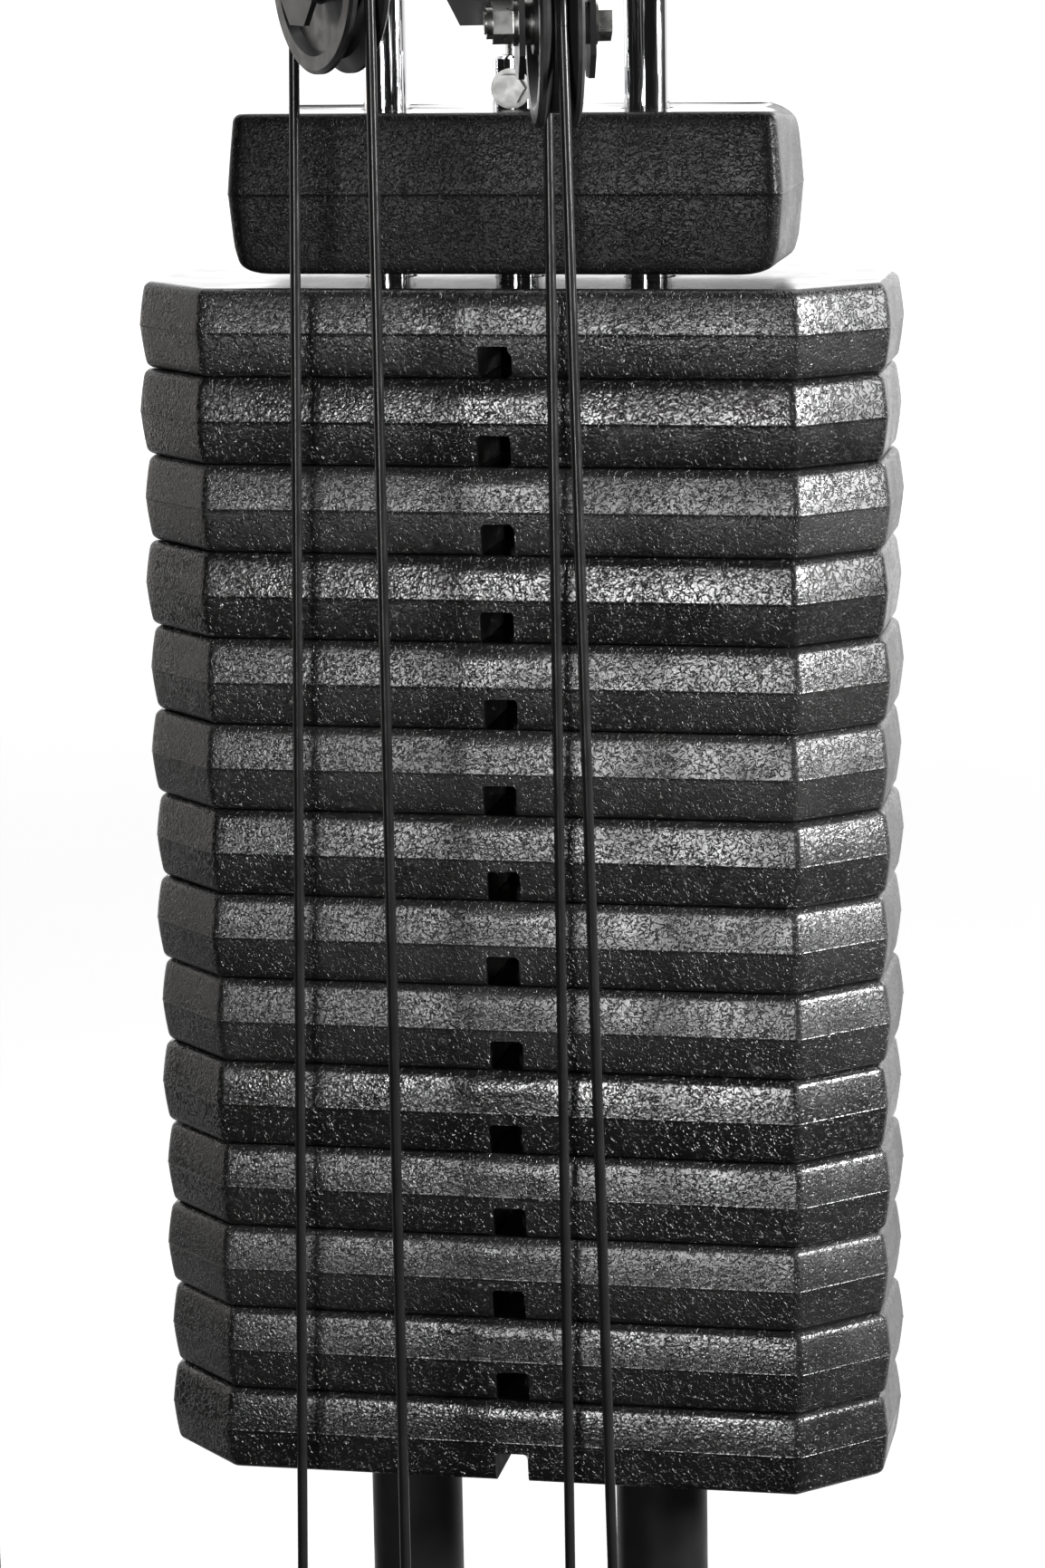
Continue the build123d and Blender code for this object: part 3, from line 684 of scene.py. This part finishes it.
LOW_XY, HIGH_XY = (LOW_BLOCK[0], BLOCK_Y), (HIGH_BLOCK[0], BLOCK_Y)
LOW_FRONT, LOW_REAR = away(LOW_XY, LOW_BLOCK[1], GROOVE_R), away(LOW_XY, LOW_BLOCK[1], -GROOVE_R)
HIGH_FRONT, HIGH_REAR = away(HIGH_XY, HIGH_BLOCK[1], GROOVE_R), away(HIGH_XY, HIGH_BLOCK[1], -GROOVE_R)


def centre_of(node):
    low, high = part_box(node)
    return (low + high) / 2


def wheel_arc(centre, turn, first, last, steps=16, radius=GROOVE_R):
    """Points round a wheel: 0 degrees is the cable side, 90 the top and 180 the far side."""
    points = []
    for k in range(steps + 1):
        angle = radians(first + (last - first) * k / steps)
        x, y = away(centre, turn, radius * cos(angle))
        points.append(Vector((x, y, centre[2] + radius * sin(angle))))
    return points


def straight(start, end, steps=24):
    start, end = Vector(start), Vector(end)
    return [start.lerp(end, k / steps) for k in range(steps + 1)]


def stretching_run(name, start, end):
    """A straight cable run from a fixed end to an end on a moving body."""
    run = tube(name, straight(start, end, 40), CABLE_R, JACKET)
    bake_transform(run)
    return run


def build_cables():
    stem_low, stem_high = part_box("lift_cable_stem_run")
    run = stretching_run("cable_stem_run", (0, 0, stem_high.z), (0, 0, stem_low.z))
    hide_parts("lift_cable_stem_run")
    low_top, high_top = LOW_BLOCK[2] + BLOCK_SPACING + GAP, HIGH_BLOCK[2] + BLOCK_SPACING + GAP
    upper = {
        "cable_low_block_rear": (LOW_REAR, TOP_Z - GAP, low_top, "low_block"),
        "cable_low_block_front": (LOW_FRONT, TOP_Z - GAP, low_top, "low_block"),
        "cable_high_block_front": (HIGH_FRONT, TOP_Z - GAP, high_top, "high_block"),
        "cable_high_block_rear": (HIGH_REAR, CROWN_Z - ANCHOR_L, high_top, "high_block"),
    }
    for name, (spot, top, bottom, body) in upper.items():
        run = stretching_run(name, (*spot, top), (*spot, bottom))
        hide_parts("lift_cable_block_runs")
    foot = DECK_Z + ANCHOR_L
    low_end, high_end = LOW_BLOCK[2] - GAP, HIGH_BLOCK[2] - GAP
    low_start = (LOW_REAR[0] - LOW_DRIFT, LOW_REAR[1], BASE_Z + GAP)
    high_start = (HIGH_FRONT[0] + HIGH_DRIFT, HIGH_FRONT[1], BASE_Z + GAP)
    lower = {
        "low_cable_rear_run": (low_start, (*LOW_REAR, low_end), "low_block"),
        "low_cable_anchor_run": ((*LOW_FRONT, foot), (*LOW_FRONT, low_end), "low_block"),
        "high_cable_anchor_run": ((*HIGH_REAR, foot), (*HIGH_REAR, high_end), "high_block"),
        "high_cable_front_run": (high_start, (*HIGH_FRONT, high_end), "high_block"),
    }
    for node, (start, end, body) in lower.items():
        run = stretching_run(node.replace("_cable", "_block_cable"), start, end)
        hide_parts(node)
    build_floor_run()
    build_mast_run()


def build_floor_run():
    base = centre_of("low_base_pulley")
    z = base.z - GROOVE_R
    end_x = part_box("low_cable_floor_run")[1].x
    turn_x = centre_of("row_pulley").x - 30 * MM
    points = wheel_arc(base, 90.0, -180, -90) + straight((base.x, base.y, z), (turn_x, base.y, z))[1:]
    fixed = tube("low_cable_floor", points, CABLE_R, JACKET)
    place(fixed, "frame", "cable_jacket", "low_cable_floor_run")
    stretching_run("low_cable_handle_end", (turn_x, base.y, z), (end_x, base.y, z))


def build_mast_run():
    base, foot = centre_of("high_base_pulley"), centre_of("mast_foot_pulley")
    top, lat = centre_of("mast_top_pulley"), centre_of("lat_pulley")
    z = base.z - GROOVE_R
    points = wheel_arc(base, 90.0, -180, -90) + straight((base.x, base.y, z), (foot.x, foot.y, z))[1:-1]
    points += wheel_arc(foot, 90.0, -90, 0) + wheel_arc(top, MAST_WHEEL_TURN, 180, 90)
    points += wheel_arc(lat, MAST_WHEEL_TURN, 90, 0)
    fixed = tube("high_cable_mast", points, CABLE_R, JACKET)
    place(fixed, "frame", "cable_jacket", "high_cable_mast_run")
    drop = points[-1]
    stretching_run("high_cable_bar_drop", drop, (drop.x, drop.y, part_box("lat_bar")[1].z + GAP))


# ------------------------------------------------------------------- cushions


def rounded_box(name, low, high, corner, step, material):
    """A closed box of even quads whose edges are rounded."""
    size = high - low
    counts = [max(2, round(s / step)) for s in size]
    made = bmesh.new()
    seen = {}

    def vertex(i, j, k):
        key = (i, j, k)
        if key not in seen:
            point = Vector([low[a] + size[a] * key[a] / counts[a] for a in range(3)])
            inner = Vector([min(max(point[a], low[a] + corner), high[a] - corner) for a in range(3)])
            out = point - inner
            if out.length > 1e-9:
                point = inner + out.normalized() * min(corner, max(abs(c) for c in out))
            seen[key] = made.verts.new(point)
        return seen[key]

    for axis in range(3):
        u, v = (axis + 1) % 3, (axis + 2) % 3
        for level in (0, counts[axis]):
            for a in range(counts[u]):
                for b in range(counts[v]):
                    ring = []
                    for da, db in ((0, 0), (1, 0), (1, 1), (0, 1)):
                        key = [0, 0, 0]
                        key[axis], key[u], key[v] = level, a + da, b + db
                        ring.append(vertex(*key))
                    made.faces.new(ring if level else ring[::-1])
    mesh = bpy.data.meshes.new(name)
    made.to_mesh(mesh)
    made.free()
    mesh.materials.append(material)
    mesh.shade_smooth()
    result = bpy.data.objects.new(name, mesh)
    bpy.context.scene.collection.objects.link(result)
    return result


def inflate(pad, pressure, frames, cap, held):
    """Swells a closed mesh as pressed cloth, no point further than cap; held(point) keeps a point."""
    rest = [v.co.copy() for v in pad.data.vertices]
    pins = pad.vertex_groups.new(name="pins")
    pins.add([i for i, p in enumerate(rest) if held(p)], 1.0, "REPLACE")
    cloth = pad.modifiers.new("cloth", "CLOTH")
    settings = cloth.settings
    settings.use_pressure, settings.uniform_pressure_force = True, pressure
    settings.effector_weights.gravity = 0
    settings.vertex_group_mass = "pins"
    settings.quality = 5
    settings.tension_stiffness = settings.compression_stiffness = 12
    cloth.collision_settings.use_collision = False
    cloth.point_cache.frame_end = frames
    for number in range(1, frames + 1):
        bpy.context.scene.frame_set(number)
    puffed = evaluated_copy(pad)
    pad.modifiers.clear()
    for i, vertex in enumerate(pad.data.vertices):
        move = puffed.vertices[i].co - rest[i]
        if move.length > cap:
            move = move.normalized() * cap
        vertex.co = rest[i] + move
    bpy.data.meshes.remove(puffed)
    bpy.context.scene.frame_set(1)
    pad.vertex_groups.clear()


def groove(distance, width):
    """1 in the middle of a seam, falling smoothly to 0 at its width."""
    return 1 - smooth(abs(distance) / width)


def ring_path(u0, u1, v0, v1, corner, spacing):
    """Points round a rounded rectangle, evenly spaced."""
    corners = [Vector((u0, v0)), Vector((u1, v0)), Vector((u1, v1)), Vector((u0, v1))]
    straights = [(corners[(i + 1) % 4] - corners[i]).length - 2 * corner for i in range(4)]
    edge_steps = [max(2, round(length / spacing)) for length in straights]
    return convex_ring(corners, 0.0, corner, max(3, round(corner * pi / 2 / spacing)), edge_steps)


def nearest_surface(pad, origin, direction):
    hit, spot, normal, _ = pad.ray_cast(origin, direction)
    return (spot, normal) if hit else (None, None)


def stitches(name, pad, path, outward, lift, body):
    """A row of stitches on the cover along a path, each of them a short length of thread that is thick in
    its middle. outward looks out of the cover, and lift is how high the thread arches over it."""
    vertices, faces = [], []
    sides, half, thread_r = 6, 1.5 * MM, 0.45 * MM
    sections = ((-1.0, 0.25), (-0.6, 0.8), (0.0, 1.0), (0.6, 0.8), (1.0, 0.25))
    outward = Vector(outward)
    for i in range(0, len(path) - 1, 2):
        spot, normal = nearest_surface(pad, path[i] + outward * 0.2, -outward)
        if spot is None:
            continue
        along = (path[i + 1] - path[i]).normalized()
        side = along.cross(normal).normalized()
        start = len(vertices)
        for t, wide in sections:
            middle = spot + along * half * t + normal * (lift * (1 - t * t) - 0.1 * MM)
            for angle in circle(sides):
                vertices.append(middle + (side * cos(angle) + normal * sin(angle)) * thread_r * wide)
        faces += [tuple(start + corner for corner in face) for face in closed_loft(len(sections), sides)]
    made = piece(name, vertices, faces, THREAD)
    return place(made, body, "vinyl")


CROWN = 10 * MM  # how much a cushion's middle stands above its edge
SEAM_IN = 26 * MM  # from a cushion's edge to its border seam


def cushion(name, node, face_axis, channels):
    """A stuffed pad on a flat board: crowned face, side seam, sewn channels and stitching.
    face_axis is the axis that the face looks along; channels are shares of the long side."""
    low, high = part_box(node)
    long_axis = 2 if face_axis == 0 else 0
    wide_axis = 1
    board, puff = 12 * MM, 3.5 * MM
    shrink = Vector((puff, puff, puff))
    base_low, base_high = low + shrink, high - shrink
    base_low[face_axis] = low[face_axis] + board
    base_high[face_axis] = high[face_axis] - CROWN - puff
    step = 5.5 * MM
    pad = rounded_box(name, base_low, base_high, 17 * MM, step, VINYL)
    floor_level, face_level = base_low[face_axis], base_high[face_axis]
    inflate(pad, 3.5, 18, puff, lambda p: p[face_axis] - floor_level < 2 * MM)
    length, width = high[long_axis] - low[long_axis], high[wide_axis] - low[wide_axis]
    for vertex in pad.data.vertices:
        p = vertex.co
        share = (p[face_axis] - floor_level) / (face_level - floor_level)
        u, v = p[long_axis] - low[long_axis], p[wide_axis] - low[wide_axis]
        crown = (sin(pi * min(1, max(0, u / length))) * sin(pi * min(1, max(0, v / width)))) ** 0.55
        top = smooth((share - 0.55) / 0.35)
        border = min(u, length - u, v, width - v)
        depth = 4.5 * MM * groove(border - SEAM_IN, 9 * MM)
        for channel in channels:
            if border > SEAM_IN - 3 * MM:
                depth = max(depth, 6.5 * MM * groove(u - channel * length, 16 * MM))
        p[face_axis] += top * (CROWN * crown - depth)
        waist = groove(share - 0.42, 0.09) * 1.6 * MM
        for axis in (long_axis, wide_axis):
            middle = (low[axis] + high[axis]) / 2
            outside = smooth((border * -1 + 16 * MM) / (8 * MM))
            p[axis] -= (1 if p[axis] > middle else -1) * waist * outside
    relax_into_box(pad, low, high)
    fine = pad.modifiers.new("fine", "SUBSURF")
    fine.levels = fine.render_levels = 1
    smoothed = evaluated_copy(pad)
    pad.modifiers.clear()
    pad.data = smoothed
    pad.data.shade_smooth()
    place(pad, "frame", "vinyl", node)
    outward = [0.0, 0.0, 0.0]
    outward[face_axis] = 1.0
    sew(name, pad, low, high, face_axis, long_axis, face_level, channels, outward)
    backing_board(name, low, high, face_axis)
    return pad


def relax_into_box(pad, low, high):
    for vertex in pad.data.vertices:
        for axis in range(3):
            vertex.co[axis] = min(max(vertex.co[axis], low[axis]), high[axis])


def sew(name, pad, low, high, face_axis, long_axis, level, channels, outward):
    """Stitches beside the border seam and beside each channel."""
    bpy.context.view_layer.update()

    def lift_point(u, v):
        point = Vector((0.0, 0.0, 0.0))
        point[face_axis], point[long_axis], point[1] = level, u, v
        return point

    inset = SEAM_IN + 5 * MM
    u0, u1 = low[long_axis] + inset, high[long_axis] - inset
    v0, v1 = low[1] + inset, high[1] - inset
    loop = [lift_point(p.x, p.y) for p in ring_path(u0, u1, v0, v1, 12 * MM, 2.3 * MM)]
    stitches(f"{name}_border_stitches", pad, loop, outward, 0.5 * MM, "frame")
    for number, channel in enumerate(channels, 1):
        u = low[long_axis] + channel * (high[long_axis] - low[long_axis]) + 5 * MM
        count = round((v1 - v0) / (2.3 * MM))
        row = [lift_point(u, v0 + (v1 - v0) * k / count) for k in range(count + 1)]
        stitches(f"{name}_channel_stitches_{number}", pad, row, outward, 0.5 * MM, "frame")


def backing_board(name, low, high, face_axis):
    """The moulded board behind a pad, with rounded corners and a rolled edge."""
    long_axis = 2 if face_axis == 0 else 0
    inset = 3 * MM
    corners = [Vector(p) for p in (
        (low[long_axis] + inset, low[1] + inset), (high[long_axis] - inset, low[1] + inset),
        (high[long_axis] - inset, high[1] - inset), (low[long_axis] + inset, high[1] - inset),
    )]
    rows = [(6.0, 0.2), (2.2, 0.2), (0.6, 1.2), (0.0, 3.0), (0.0, 9.5), (0.8, 11.2), (2.5, 12.0)]
    vertices = []
    for row_inset, height in rows:
        for p in convex_ring(corners, row_inset * MM, 15 * MM, 8, [16, 12, 16, 12]):
            point = Vector((0.0, 0.0, 0.0))
            point[long_axis], point[1] = p.x, p.y
            point[face_axis] = low[face_axis] + height * MM
            vertices.append(point)
    faces = closed_loft(len(rows), len(vertices) // len(rows))
    made = piece(f"{name}_board", vertices, faces, RUBBER)
    fix_normals(made)
    place(made, "frame", "rubber")


def fix_normals(made):
    work = bmesh.new()
    work.from_mesh(made.data)
    bmesh.ops.recalc_face_normals(work, faces=work.faces)
    work.to_mesh(made.data)
    work.free()


# ------------------------------------------------------------- small hardware


def ribbed_grip(name, start, end, radius, ribs, body):
    """A rubber sleeve with rounded ribs and a flared collar at each end."""
    start, end = Vector(start), Vector(end)
    length = (end - start).length
    inside, lip, flare, sleeve = radius - 2 * MM, radius + 2.2 * MM, radius + 3 * MM, radius + 0.4 * MM
    collar = [(0.0, inside), (0.0, lip), (1.2 * MM, flare), (4.5 * MM, flare), (6.0 * MM, sleeve)]
    first, last = 8 * MM, length - 8 * MM
    profile = list(collar)
    for k in range(ribs * 6 + 1):
        along = first + (last - first) * k / (ribs * 6)
        profile.append((along, sleeve + 1.0 * MM * abs(sin(pi * k / 6))))
    profile += [(length - along, reach) for along, reach in reversed(collar)]
    return place(turned(name, profile, start, end - start, RUBBER), body, "rubber")


WASHER, FLATS, CHAMFER = 0, 1, 2
BOLT_ROWS = (
    (0.0, 12.0, WASHER), (1.4, 12.0, WASHER), (2.0, 11.2, WASHER), (2.0, 8.6, FLATS),
    (7.2, 8.6, FLATS), (8.2, 7.6, CHAMFER), (8.3, 4.0, WASHER),
)


def hex_reach(radius, angle, form):
    """How far a bolt reaches at an angle: round, or with flats cut off at its corners."""
    if form == WASHER:
        return radius
    sector = (angle + pi / 6) % (pi / 3) - pi / 6
    return min(radius / cos(sector), 9.6 if form == FLATS else 8.3)


def hex_bolt(name, centre, axis, body):
    """Bolt head with chamfered corners on its washer, looking along axis."""
    axis, side, other = directions(axis)
    vertices, sides = [], 48
    for along, radius, form in BOLT_ROWS:
        for angle in circle(sides):
            out = side * cos(angle) + other * sin(angle)
            vertices.append(Vector(centre) + (axis * along + out * hex_reach(radius, angle, form)) * MM)
    return place(piece(name, vertices, closed_loft(len(BOLT_ROWS), sides), ZINC, 25), body, "zinc")


def weld_bead(name, x, z):
    """A rippled bead round an upright where it meets a level face."""
    half, radius = UPRIGHT_HALF + 0.5 * MM, 1.6 * MM
    path = ring_path(x - half, x + half, -half, half, 5 * MM, 2.2 * MM)
    vertices, sides = [], 10
    count = len(path)
    for i, p in enumerate(path):
        ahead, behind = path[(i + 1) % count], path[i - 1]
        along = (ahead - behind).normalized()
        out = Vector((along.y, -along.x))
        swell = radius * (0.85 + 0.15 * cos(pi * i))
        for angle in circle(sides):
            spot = p + out * swell * cos(angle)
            vertices.append((spot.x, spot.y, z + swell * sin(angle)))
    bead = piece(name, vertices, rings_to_faces(count, sides, closed=True), PAINT, 60)
    return place(bead, "frame", "frame_paint")


UPRIGHT_HALF = 25 * MM
BEAM_LOW_Z, FOOT_TOP_Z = 1990 * MM, 50 * MM
BAR_HALF, BAR_TIP_Z = 520 * MM, 1650 * MM
BAR_SLOPE = Vector((0, 190, -110)).normalized()
BAR_GRIP_R, ROW_GRIP_R = 14 * MM, 7 * MM
HANDLE_X = 1292 * MM
PAD_BOLT_HEIGHTS = (790 * MM, 810 * MM, 1190 * MM, 1210 * MM)


def build_grips():
    bar = centre_of("lat_bar")
    for side, name in ((-1, "left"), (1, "right")):
        tip = Vector((bar.x, side * BAR_HALF, BAR_TIP_Z))
        along = Vector((0, -side * BAR_SLOPE.y, -BAR_SLOPE.z))
        start, end = tip + along * 2 * MM, tip + along * 128 * MM
        ribbed_grip(f"bar_grip_{name}", start, end, BAR_GRIP_R, 12, "lat_bar")
    row, half = centre_of("row_handle"), 40 * MM
    start, end = (HANDLE_X, row.y - half, row.z), (HANDLE_X, row.y + half, row.z)
    ribbed_grip("row_grip_sleeve", start, end, ROW_GRIP_R, 9, "row_handle")


def build_hardware():
    build_grips()
    low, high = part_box("uprights")
    rear_x, mast_x = low.x + UPRIGHT_HALF, high.x - UPRIGHT_HALF
    weld_bead("weld_rear_foot", rear_x, FOOT_TOP_Z)
    weld_bead("weld_mast_foot", mast_x, DECK_Z)
    weld_bead("weld_rear_top", rear_x, BEAM_LOW_Z)
    weld_bead("weld_mast_top", mast_x, BEAM_LOW_Z)
    for number, z in enumerate(PAD_BOLT_HEIGHTS, 1):
        hex_bolt(f"pad_bolt_{number}", (mast_x - UPRIGHT_HALF, 0, z), (-1, 0, 0), "frame")


# --------------------------------------------------------------------- studio


def build_studio():
    """A pale floor that curves up far away."""
    radius, rise = 45.0, 24.0
    rows = [(0.001, 0.0), (4.0, 0.0), (20.0, 0.0), (34.0, 0.3), (41.0, 3.0), (44.5, 9.0), (radius, rise)]
    sides = 64
    vertices = [(r * cos(angle), r * sin(angle), z) for r, z in rows for angle in circle(sides)]
    faces = rings_to_faces(len(rows), sides) + [tuple(reversed(range(sides)))]
    floor = piece("studio_floor", vertices, faces, studio_floor_material(), 80)
    fix_normals(floor)
    floor.visible_glossy = False
    floor.visible_diffuse = False


def area_light(name, spot, target, wide, tall, power, colour=(1, 1, 1)):
    data = bpy.data.lights.new(name, "AREA")
    data.shape, data.size, data.size_y = "RECTANGLE", wide, tall
    data.energy, data.color = power, colour
    light = bpy.data.objects.new(name, data)
    light.location = spot
    light.rotation_euler = (Vector(target) - Vector(spot)).to_track_quat("-Z", "Y").to_euler()
    light.visible_camera = False
    bpy.context.scene.collection.objects.link(light)
    return light


def named(collection_name, prefixes):
    """A collection of the objects whose names start with one of the prefixes, for the light links."""
    chosen = bpy.data.collections.new(collection_name)
    for made in list(bpy.context.scene.collection.all_objects):
        if made.name.startswith(prefixes):
            chosen.objects.link(made)
    return chosen


def all_but(collection_name, prefixes):
    """A collection for a light link that leaves the named objects unlit."""
    lit = named(collection_name, prefixes)
    for member in lit.collection_objects:
        member.light_linking.link_state = "EXCLUDE"
    return lit


def build_lights():
    """The right softbox is for the weight stack with its cables and risers, and only the stack shades it.
    Only the sky and the top softbox light the floor; the front softbox spares the steel that mirrors it."""
    stack = ("weight_", "counterweight_", "guide_rod_", "low_block", "high_block")
    right = area_light("right_softbox", (2.33, -0.56, 1.22), (0.18, -0.05, 0.72), 0.6, 0.7, 225)
    right.light_linking.blocker_collection = named("right_light_blockers", stack)
    right.light_linking.receiver_collection = named("right_light_receivers", stack + ("cable_", "riser_"))
    front = area_light("front_softbox", (-0.3, -3.0, 0.74), (0, 0, 0.62), 0.62, 0.8, 58)
    mirrors = ("studio_floor", "seat_frame", "lat_bar", "row_handle")
    front.light_linking.receiver_collection = all_but("lit_by_front_light", mirrors)
    left = area_light("left_fill", (-2.6, 0.6, 0.9), (-0.2, 0, 0.6), 1.4, 1.8, 14, (1.0, 0.93, 0.88))
    station = area_light("station_fill", (2.4, 2.6, 2.2), (0.6, 0, 0.9), 1.6, 1.6, 60)
    for light in (left, station):
        light.light_linking.receiver_collection = all_but(f"lit_by_{light.name}", ("studio_floor",))
    area_light("top_softbox", (0.3, 0.6, 3.6), (0.3, 0, 0.6), 2.6, 1.8, 60)


def build_world():
    """Bright behind the machine and dim in front of it, as in front of a lit white backdrop."""
    world = bpy.data.worlds.new("studio")
    bpy.context.scene.world = world
    world.use_nodes = True
    tree = world.node_tree
    background = tree.nodes["Background"]
    place_node = tree.nodes.new("ShaderNodeTexCoord")
    split = tree.nodes.new("ShaderNodeSeparateXYZ")
    tree.links.new(place_node.outputs["Generated"], split.inputs[0])

    def ramp(value, low, high, out_low, out_high):
        node = tree.nodes.new("ShaderNodeMapRange")
        node.interpolation_type = "SMOOTHSTEP"
        node.inputs["From Min"].default_value, node.inputs["From Max"].default_value = low, high
        node.inputs["To Min"].default_value, node.inputs["To Max"].default_value = out_low, out_high
        tree.links.new(value, node.inputs["Value"])
        return node.outputs["Result"]

    behind = ramp(split.outputs["Y"], -0.15, 1.1, 0.012, 2.0)
    above = ramp(split.outputs["Z"], -0.35, 0.15, 0.45, 1.0)
    both = tree.nodes.new("ShaderNodeMath")
    both.operation = "MULTIPLY"
    tree.links.new(behind, both.inputs[0])
    tree.links.new(above, both.inputs[1])
    tree.links.new(both.outputs[0], background.inputs["Strength"])
    background.inputs["Color"].default_value = (1, 1, 1, 1)


def build_camera():
    """The photograph's view of the weight stack."""
    yaw, pitch, roll = radians(10.983), radians(11.824), radians(-0.964)
    forward = Vector((-sin(yaw) * cos(pitch), cos(yaw) * cos(pitch), -sin(pitch)))
    right = Vector((cos(yaw), sin(yaw), 0.0))
    up = right.cross(forward)
    across = right * cos(roll) + up * sin(roll)
    upward = up * cos(roll) - right * sin(roll)
    turn = Matrix((across, upward, -forward)).transposed().to_4x4()
    data = bpy.data.cameras.new("camera")
    data.sensor_width, data.lens = 36.0, 104.5
    data.clip_end = 200.0
    camera = bpy.data.objects.new("camera", data)
    camera.matrix_world = Matrix.Translation((0.45967, -2.38255, 1.112466)) @ turn
    bpy.context.scene.collection.objects.link(camera)
    bpy.context.scene.camera = camera


# ----------------------------------------------------------------------- make

bpy.context.scene.view_settings.view_transform = "Standard"
build_camera()
finish_cad_nodes()
build_plates()
build_head()
build_rods()
build_cables()
cushion("seat_cushion", "seat_pad", 2, (0.5,))
cushion("back_cushion", "back_pad", 0, (0.25, 0.5, 0.75))
build_hardware()
build_studio()
build_world()
build_lights()
